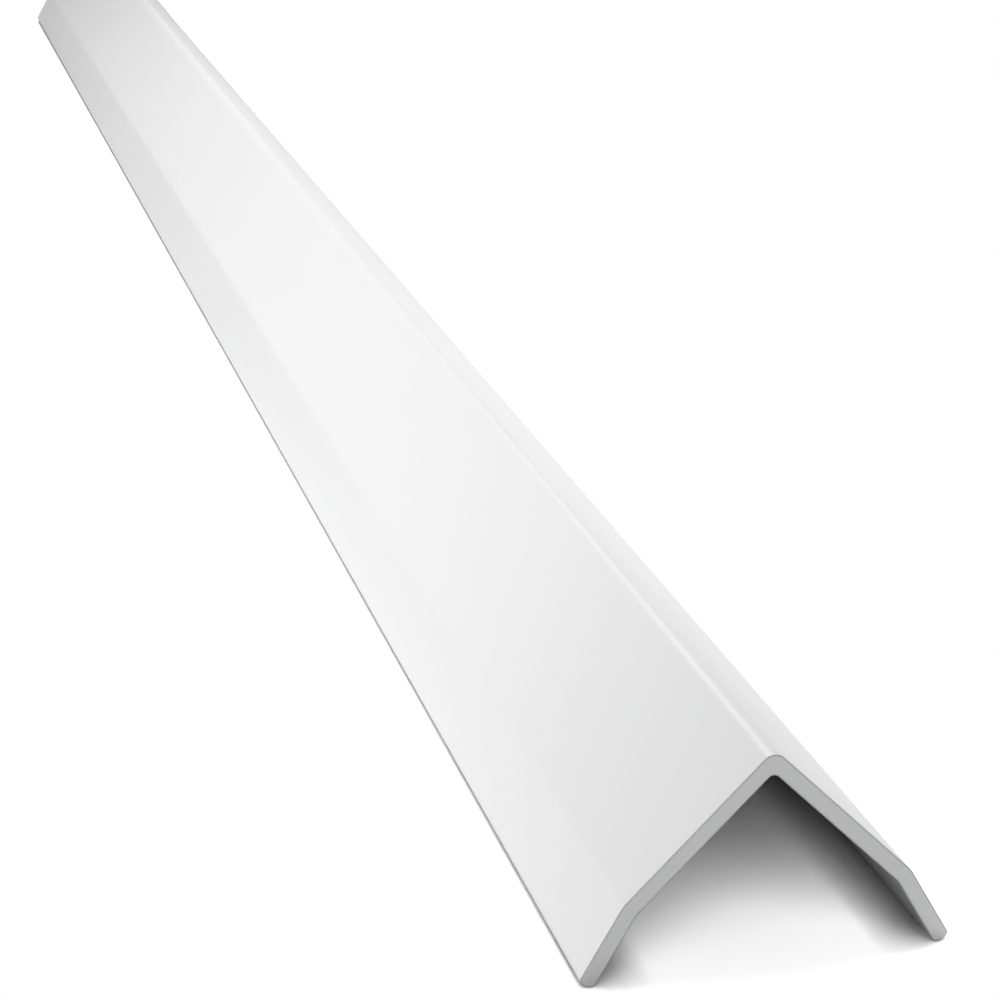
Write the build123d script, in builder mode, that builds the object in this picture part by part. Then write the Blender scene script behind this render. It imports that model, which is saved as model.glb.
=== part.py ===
from build123d import *
from math import cos, radians, sin
import os

os.makedirs("parts", exist_ok=True)

# A straight extruded aluminium edge trim for outside wall corners. It is an angle whose two
# equal legs each end in a lip turned in towards the wall, so that the free edges close tight.
# It stands on its two free edges with the corner up. Length runs along Y, and the origin is on
# the ground under the middle.

# Stock length and wall
length = 1000.0
wall = 3.0

# Legs, measured on the outside faces from one sharp corner to the next
corner_angle = 90.0
face_width = 35.5
lip_width = 15.0
lip_bend = 15.0

# Roundings of the section
corner_radius_outside = 2.5
corner_radius_inside = 1.2
bend_radius_inside = 2.0
edge_radius = 1.1

# A free edge is never rounded beyond the middle of its wall
free_edge_radius = min(edge_radius, 0.45 * wall)

# Directions down the right leg in the section, as angles from the section's horizontal
face_angle = -(180.0 - corner_angle) / 2
lip_angle = face_angle - lip_bend

# Height of the sharp outside corner above the ground that the rounded free edges touch
face_slope = radians(-face_angle)
lip_slope = radians(-lip_angle)
face_drop = face_width * sin(face_slope)
lip_drop = lip_width * sin(lip_slope) + wall * cos(lip_slope)
edge_rise = free_edge_radius * (sin(lip_slope) + cos(lip_slope) - 1)
corner_height = face_drop + lip_drop - edge_rise

section_plane = Plane(origin=(0, 0, corner_height), x_dir=(1, 0, 0), z_dir=(0, -1, 0))

# One extrusion: the outside line of one leg, mirrored and thickened by the wall
with BuildPart() as edge_trim:
    with BuildSketch(section_plane) as section:
        with BuildLine() as outside:
            face = PolarLine((0, 0), face_width, face_angle)
            PolarLine(face @ 1, lip_width, lip_angle)
            mirror(about=Plane.YZ)
            offset(amount=wall, side=Side.RIGHT, kind=Kind.INTERSECTION)
        make_face()

        # Bends between face and lip, on the outside and then on the inside of the wall
        outside_bends = section.vertices().group_by(Axis.Y)[3]
        fillet(outside_bends, radius=bend_radius_inside + wall)
        inside_bends = section.vertices().group_by(Axis.Y)[2]
        fillet(inside_bends, radius=bend_radius_inside)

        # Free edges: the four lowest corners
        levels = section.vertices().group_by(Axis.Y)
        fillet(levels[0] + levels[1], radius=free_edge_radius)

        # Corner of the angle: the two points on the line of symmetry
        outside_corner = section.vertices().sort_by(Axis.Y)[-1]
        fillet(outside_corner, radius=corner_radius_outside)
        inside_corner = section.vertices().sort_by(lambda point: abs(point.X))[0]
        fillet(inside_corner, radius=corner_radius_inside)
    extrude(amount=length / 2, both=True)

edge_trim.part.label = "edge_trim"
export_step(edge_trim.part, "parts/edge_trim.step")
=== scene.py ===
import bmesh
import bpy
import math
from mathutils import Matrix, Vector


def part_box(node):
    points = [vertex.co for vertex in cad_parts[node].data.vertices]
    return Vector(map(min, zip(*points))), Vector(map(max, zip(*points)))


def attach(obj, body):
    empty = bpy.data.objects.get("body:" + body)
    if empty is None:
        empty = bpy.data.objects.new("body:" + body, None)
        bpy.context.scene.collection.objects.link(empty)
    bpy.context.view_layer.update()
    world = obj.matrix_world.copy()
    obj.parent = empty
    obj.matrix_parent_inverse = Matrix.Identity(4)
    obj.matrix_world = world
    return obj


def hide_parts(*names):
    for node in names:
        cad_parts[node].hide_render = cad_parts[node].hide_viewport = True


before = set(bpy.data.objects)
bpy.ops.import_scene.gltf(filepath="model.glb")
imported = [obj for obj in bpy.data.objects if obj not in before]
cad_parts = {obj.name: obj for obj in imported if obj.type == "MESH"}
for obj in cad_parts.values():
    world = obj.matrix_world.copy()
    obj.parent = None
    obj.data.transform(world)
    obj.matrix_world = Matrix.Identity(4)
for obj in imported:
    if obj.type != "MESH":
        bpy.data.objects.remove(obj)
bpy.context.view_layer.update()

# Edge trim
# One straight aluminium extrusion: a right angle whose two legs each end in a lip turned in
# towards the wall. The bar is powder coated white all round, then sawn to length, so both cut
# ends show bare metal inside a thin rim of coat, with the saw's burr just taken off.
wall = 0.003
face_width = 0.0355
lip_width = 0.015
face_slope = math.radians(45)
lip_slope = math.radians(60)
corner_radius_outside = 0.0025
corner_radius_inside = 0.0012
bend_radius_inside = 0.002
bend_radius_outside = bend_radius_inside + wall
edge_radius = 0.0011
deburr = 0.00015
coat_thickness = 0.00009

low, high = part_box("edge_trim")
front = low.y
back = high.y


def down_leg(slope, distance):
    return Vector((math.cos(slope), -math.sin(slope))) * distance


def into_wall(slope, distance):
    return Vector((-math.sin(slope), -math.cos(slope))) * distance


def mirrored(point):
    return Vector((-point.x, point.y))


# Sharp corners of the right leg, measured from the sharp outside corner of the angle
outside_bend = down_leg(face_slope, face_width)
outside_tip = outside_bend + down_leg(lip_slope, lip_width)
inside_tip = outside_tip + into_wall(lip_slope, wall)
inside_corner = Vector((0, -wall / math.cos(face_slope)))
half_bend = (lip_slope - face_slope) / 2
inside_bend = outside_bend + into_wall(face_slope + half_bend, wall / math.cos(half_bend))

# The rounded free edges, and not their sharp corners, touch the ground
edge_rise = edge_radius * (math.sin(lip_slope) + math.cos(lip_slope) - 1)
corner_height = low.z - inside_tip.y - edge_rise


def rounded(before, corner, after, radius, facets):
    """The arc that rounds one corner of the section, as points with their outward directions."""
    to_before = (before - corner).normalized()
    to_after = (after - corner).normalized()
    half_angle = to_before.angle(to_after) / 2
    centre = corner + (to_before + to_after).normalized() * radius / math.sin(half_angle)
    spoke = corner + to_before * radius / math.tan(half_angle) - centre
    outward = 1 if to_before.cross(to_after) > 0 else -1
    turn = outward * (2 * half_angle - math.pi)
    points = []
    for step in range(facets + 1):
        arm = Matrix.Rotation(turn * step / facets, 2) @ spoke
        points.append((centre + arm, arm.normalized() * outward))
    return points


# The section, run once round from the free edge of the left leg
edge_facets = 10
bend_facets_outside = 8
bend_facets_inside = 6
corner_facets_outside = 20
corner_facets_inside = 12
corners = [
    (mirrored(inside_tip), edge_radius, edge_facets),
    (mirrored(outside_tip), edge_radius, edge_facets),
    (mirrored(outside_bend), bend_radius_outside, bend_facets_outside),
    (Vector((0, 0)), corner_radius_outside, corner_facets_outside),
    (outside_bend, bend_radius_outside, bend_facets_outside),
    (outside_tip, edge_radius, edge_facets),
    (inside_tip, edge_radius, edge_facets),
    (inside_bend, bend_radius_inside, bend_facets_inside),
    (inside_corner, corner_radius_inside, corner_facets_inside),
    (mirrored(inside_bend), bend_radius_inside, bend_facets_inside),
]
section = []
for number, (corner, radius, facets) in enumerate(corners):
    before = corners[number - 1][0]
    after = corners[(number + 1) % len(corners)][0]
    section += rounded(before, corner, after, radius, facets)


def ring_at(bar, y, inset):
    """One ring of the section, drawn in all round by the inset."""
    ring = []
    for point, outward in section:
        drawn_in = point - outward * inset
        ring.append(bar.verts.new((drawn_in.x, y, corner_height + drawn_in.y)))
    return ring


# The bar: a flat rim of coat and a broken edge at each cut end, and plain strips between them
strip_length = 0.025
coated_length = back - front - 2 * deburr
trim_bar = bmesh.new()
strips = round(coated_length / strip_length)
spacing = coated_length / strips
rings = [ring_at(trim_bar, front, deburr + coat_thickness), ring_at(trim_bar, front, deburr)]
for strip in range(strips + 1):
    rings.append(ring_at(trim_bar, front + deburr + strip * spacing, 0))
rings += [ring_at(trim_bar, back, deburr), ring_at(trim_bar, back, deburr + coat_thickness)]
for ring, next_ring in zip(rings, rings[1:]):
    for spot in range(len(section)):
        beside = (spot + 1) % len(section)
        trim_bar.faces.new((ring[spot], ring[beside], next_ring[beside], next_ring[spot]))
for face in trim_bar.faces:
    face.smooth = True
sawn_slot = 1
for cut in (rings[0], rings[-1]):
    sawn = trim_bar.faces.new(cut)
    sawn.material_index = sawn_slot
bmesh.ops.recalc_face_normals(trim_bar, faces=trim_bar.faces)
trim_mesh = bpy.data.meshes.new("edge_trim_coated")
trim_bar.to_mesh(trim_mesh)
trim_bar.free()

# Only the broken edges at the cut ends are sharper than this, and they stay crisp
crisp_angle = math.radians(32)
trim_mesh.set_sharp_from_angle(angle=crisp_angle)
trim = bpy.data.objects.new("edge_trim_coated", trim_mesh)
bpy.context.scene.collection.objects.link(trim)


def grain(tree, place, scale, detail):
    """A fine uneven pattern laid over the piece."""
    pattern = tree.nodes.new("ShaderNodeTexNoise")
    pattern.inputs["Scale"].default_value = scale
    pattern.inputs["Detail"].default_value = detail
    tree.links.new(place, pattern.inputs["Vector"])
    return pattern.outputs["Fac"]


def tint(tree, pattern, first, second, shader):
    """Let the colour run from the first to the second with the pattern."""
    blend = tree.nodes.new("ShaderNodeMix")
    blend.data_type = "RGBA"
    blend.inputs["A"].default_value = first
    blend.inputs["B"].default_value = second
    tree.links.new(pattern, blend.inputs["Factor"])
    tree.links.new(blend.outputs["Result"], shader.inputs["Base Color"])


def roughen(tree, pattern, least, most, shader):
    """Let the roughness run from the least to the most with the pattern."""
    span = tree.nodes.new("ShaderNodeMapRange")
    span.inputs["To Min"].default_value = least
    span.inputs["To Max"].default_value = most
    tree.links.new(pattern, span.inputs["Value"])
    tree.links.new(span.outputs["Result"], shader.inputs["Roughness"])


def relief(tree, pattern, strength, depth):
    """A bump raised from the pattern."""
    bump = tree.nodes.new("ShaderNodeBump")
    bump.inputs["Strength"].default_value = strength
    bump.inputs["Distance"].default_value = depth
    tree.links.new(pattern, bump.inputs["Height"])
    return bump


# White powder coat: satin, with a fine orange peel and the faintest lines of the die beneath
cooler_white = (0.812, 0.815, 0.816, 1)
warmer_white = (0.828, 0.829, 0.828, 1)
white_coat = bpy.data.materials.new("white_coat")
white_coat.use_nodes = True
coat_tree = white_coat.node_tree
coat = coat_tree.nodes["Principled BSDF"]
coat.inputs["IOR"].default_value = 1.5
coat_place = coat_tree.nodes.new("ShaderNodeTexCoord").outputs["Object"]

cloud = grain(coat_tree, coat_place, scale=9.0, detail=2.0)
tint(coat_tree, cloud, cooler_white, warmer_white, coat)
sheen_change = grain(coat_tree, coat_place, scale=60.0, detail=4.0)
roughen(coat_tree, sheen_change, least=0.38, most=0.46, shader=coat)

peel = grain(coat_tree, coat_place, scale=900.0, detail=1.0)
peel_bump = relief(coat_tree, peel, strength=0.25, depth=0.00002)
die_stretch = coat_tree.nodes.new("ShaderNodeMapping")
die_stretch.inputs["Scale"].default_value = (1.0, 0.004, 1.0)
coat_tree.links.new(coat_place, die_stretch.inputs["Vector"])
die_lines = grain(coat_tree, die_stretch.outputs["Vector"], scale=700.0, detail=3.0)
die_bump = relief(coat_tree, die_lines, strength=0.2, depth=0.00001)
coat_tree.links.new(peel_bump.outputs["Normal"], die_bump.inputs["Normal"])
coat_tree.links.new(die_bump.outputs["Normal"], coat.inputs["Normal"])
trim_mesh.materials.append(white_coat)

# Sawn aluminium: bright metal dulled by the fine, nearly parallel strokes of a cold saw
darker_metal = (0.44, 0.443, 0.447, 1)
lighter_metal = (0.53, 0.532, 0.535, 1)
stroke_slant = math.radians(12)
sawn_metal = bpy.data.materials.new("sawn_aluminium")
sawn_metal.use_nodes = True
metal_tree = sawn_metal.node_tree
metal = metal_tree.nodes["Principled BSDF"]
metal.inputs["Metallic"].default_value = 1.0
metal_place = metal_tree.nodes.new("ShaderNodeTexCoord").outputs["Object"]

stroke_stretch = metal_tree.nodes.new("ShaderNodeMapping")
stroke_stretch.inputs["Rotation"].default_value = (0, stroke_slant, 0)
stroke_stretch.inputs["Scale"].default_value = (0.05, 1.0, 1.0)
metal_tree.links.new(metal_place, stroke_stretch.inputs["Vector"])
strokes = grain(metal_tree, stroke_stretch.outputs["Vector"], scale=4500.0, detail=3.0)
tint(metal_tree, strokes, darker_metal, lighter_metal, metal)
roughen(metal_tree, strokes, least=0.34, most=0.5, shader=metal)
stroke_bump = relief(metal_tree, strokes, strength=0.5, depth=0.00002)
metal_tree.links.new(stroke_bump.outputs["Normal"], metal.inputs["Normal"])
trim_mesh.materials.append(sawn_metal)

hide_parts("edge_trim")
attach(trim, "root")

# Camera
# It looks down on the near end from the left, level, and the far end runs out of the picture.
degrees_down = 19.647
degrees_right = 14.498
camera = bpy.data.objects.new("camera", bpy.data.cameras.new("camera"))
bpy.context.scene.collection.objects.link(camera)
bpy.context.scene.camera = camera
camera.location = (-0.1379, -0.8567, 0.2173)
camera.rotation_euler = (math.radians(90 - degrees_down), 0, math.radians(-degrees_right))
camera.data.sensor_width = 36
camera.data.lens = 93.6

# Floor
# A plain sheet that keeps the trim's own shadow and throws light back as a mid grey does. The
# camera sees it far whiter, the trim's reflections partly so, and both see it run out to pure
# white a little away from the trim. Close to the trim that whiter colour is darkened by ambient
# occlusion, which is painted contact shade.
floor_reach = 6.0
paper_grey = (0.35, 0.35, 0.35, 1)
# Painted contact shade: how far the ambient occlusion reaches and how deeply it darkens the paper
painted_shade_reach = 0.009
painted_shade_power = 1.6
white_gain = 4.3
reflected_share = 0.38
fade_start = 0.002
fade_end = 0.03
fade_behind_ends = 0.01

floor_mesh = bpy.data.meshes.new("floor")
floor_corners = [
    (-floor_reach, -floor_reach, 0),
    (floor_reach, -floor_reach, 0),
    (floor_reach, floor_reach, 0),
    (-floor_reach, floor_reach, 0),
]
floor_mesh.from_pydata(floor_corners, [], [(0, 1, 2, 3)])
floor = bpy.data.objects.new("floor", floor_mesh)
bpy.context.scene.collection.objects.link(floor)
paper = bpy.data.materials.new("floor")
paper.use_nodes = True
paper_tree = paper.node_tree
paper_tree.nodes.remove(paper_tree.nodes["Principled BSDF"])


def worked_out(tree, kind, operation, *terms):
    """One step of arithmetic, in which each term is a linked socket or a set value."""
    step = tree.nodes.new(kind)
    step.operation = operation
    for socket, term in zip(step.inputs, terms):
        if isinstance(term, bpy.types.NodeSocket):
            tree.links.new(term, socket)
        else:
            socket.default_value = term
    return step.outputs


# How white the paper is, with painted shade where ambient occlusion darkens it close to the trim
floor_ray = paper_tree.nodes.new("ShaderNodeLightPath").outputs
painted_contact_shade = paper_tree.nodes.new("ShaderNodeAmbientOcclusion")
painted_contact_shade.samples = 8
painted_contact_shade.inputs["Distance"].default_value = painted_shade_reach
painted_shade = worked_out(paper_tree, "ShaderNodeMath", "POWER", painted_contact_shade.outputs["AO"], painted_shade_power)
whitened = worked_out(paper_tree, "ShaderNodeMath", "MULTIPLY", painted_shade["Value"], white_gain)
whiter = worked_out(
    paper_tree,
    "ShaderNodeMath",
    "MULTIPLY_ADD",
    floor_ray["Is Glossy Ray"],
    reflected_share,
    floor_ray["Is Camera Ray"],
)
paper_white = paper_tree.nodes.new("ShaderNodeMix")
paper_white.data_type = "RGBA"
paper_white.inputs["A"].default_value = paper_grey
paper_tree.links.new(whitened["Value"], paper_white.inputs["B"])
paper_tree.links.new(whiter["Value"], paper_white.inputs["Factor"])
matt = paper_tree.nodes.new("ShaderNodeBsdfDiffuse")
paper_tree.links.new(paper_white.outputs["Result"], matt.inputs["Color"])

# How far each spot lies from the trim, whose ends count as a little further in than they are
paper_place = paper_tree.nodes.new("ShaderNodeTexCoord").outputs["Object"]
trim_edge = (high.x, high.y - fade_behind_ends, 0)
either_side = worked_out(paper_tree, "ShaderNodeVectorMath", "ABSOLUTE", paper_place)
beyond_edge = worked_out(
    paper_tree,
    "ShaderNodeVectorMath",
    "SUBTRACT",
    either_side["Vector"],
    trim_edge,
)
outside = worked_out(paper_tree, "ShaderNodeVectorMath", "MAXIMUM", beyond_edge["Vector"])
from_trim = worked_out(paper_tree, "ShaderNodeVectorMath", "LENGTH", outside["Vector"])

# The run out to pure white
fade = paper_tree.nodes.new("ShaderNodeMapRange")
fade.interpolation_type = "SMOOTHSTEP"
fade.inputs["From Min"].default_value = fade_start
fade.inputs["From Max"].default_value = fade_end
paper_tree.links.new(from_trim["Value"], fade.inputs["Value"])
floor_seen = worked_out(
    paper_tree,
    "ShaderNodeMath",
    "MAXIMUM",
    floor_ray["Is Camera Ray"],
    floor_ray["Is Glossy Ray"],
)
fade_seen = worked_out(
    paper_tree,
    "ShaderNodeMath",
    "MULTIPLY",
    fade.outputs["Result"],
    floor_seen["Value"],
)
pure_white = paper_tree.nodes.new("ShaderNodeEmission")
sheet = paper_tree.nodes.new("ShaderNodeMixShader")
paper_tree.links.new(fade_seen["Value"], sheet.inputs["Fac"])
paper_tree.links.new(matt.outputs["BSDF"], sheet.inputs[1])
paper_tree.links.new(pure_white.outputs["Emission"], sheet.inputs[2])
paper_tree.links.new(sheet.outputs["Shader"], paper_tree.nodes["Material Output"].inputs["Surface"])
floor_mesh.materials.append(paper)

# World
# White to the camera and in reflections, and a soft fill for everything else.
fill_strength = 0.08
white_strength = 1.0
world = bpy.data.worlds.new("world")
bpy.context.scene.world = world
world.use_nodes = True
world_tree = world.node_tree
background = world_tree.nodes["Background"]
background.inputs["Color"].default_value = (1, 1, 1, 1)
world_ray = world_tree.nodes.new("ShaderNodeLightPath").outputs
world_seen = worked_out(
    world_tree,
    "ShaderNodeMath",
    "MAXIMUM",
    world_ray["Is Camera Ray"],
    world_ray["Is Glossy Ray"],
)
strength = world_tree.nodes.new("ShaderNodeMapRange")
strength.inputs["To Min"].default_value = fill_strength
strength.inputs["To Max"].default_value = white_strength
world_tree.links.new(world_seen["Value"], strength.inputs["Value"])
world_tree.links.new(strength.outputs["Result"], background.inputs["Strength"])

# Lamps
# Soft boxes round the trim, all aimed at one point of its near half. Widths are in metres and
# powers in watts.
aim = Vector((0, -0.3, 0.02))


def soft_box(name, place, width, power):
    lamp = bpy.data.objects.new(name, bpy.data.lights.new(name, "AREA"))
    lamp.data.shape = "SQUARE"
    lamp.data.size = width
    lamp.data.energy = power
    lamp.location = place
    lamp.rotation_euler = (aim - Vector(place)).to_track_quat("-Z", "Y").to_euler()
    lamp.visible_camera = False
    bpy.context.scene.collection.objects.link(lamp)


soft_box("lamp_front", (0, -1.5, 0.9), 0.8, 2.65)
soft_box("lamp_front_left", (-0.8, -1.3, 0.8), 0.7, 1.45)
soft_box("lamp_front_left_low", (-0.6, -1.2, 0.3), 0.4, 0.45)
soft_box("lamp_back_high", (0, 0.9, 1.2), 0.8, 3.7)
soft_box("lamp_behind_left", (-0.45, 1.1, 0.3), 0.4, 0.32)
soft_box("lamp_left_far", (-1, 0.3, 0.1), 0.2, 1.55)
soft_box("lamp_left_middle", (-0.35, -0.2, 0.09), 0.16, 0.32)
soft_box("lamp_left_near", (-0.3, -0.42, 0.07), 0.12, 0.28)
soft_box("lamp_right_far", (0.5, 0.45, 0.3), 0.3, 0.4)
soft_box("lamp_right_near", (0.35, -0.35, 0.16), 0.2, 0.62)
soft_box("lamp_top", (0, 0.1, 0.6), 0.5, 2.76)

bpy.context.scene.view_settings.view_transform = "Standard"
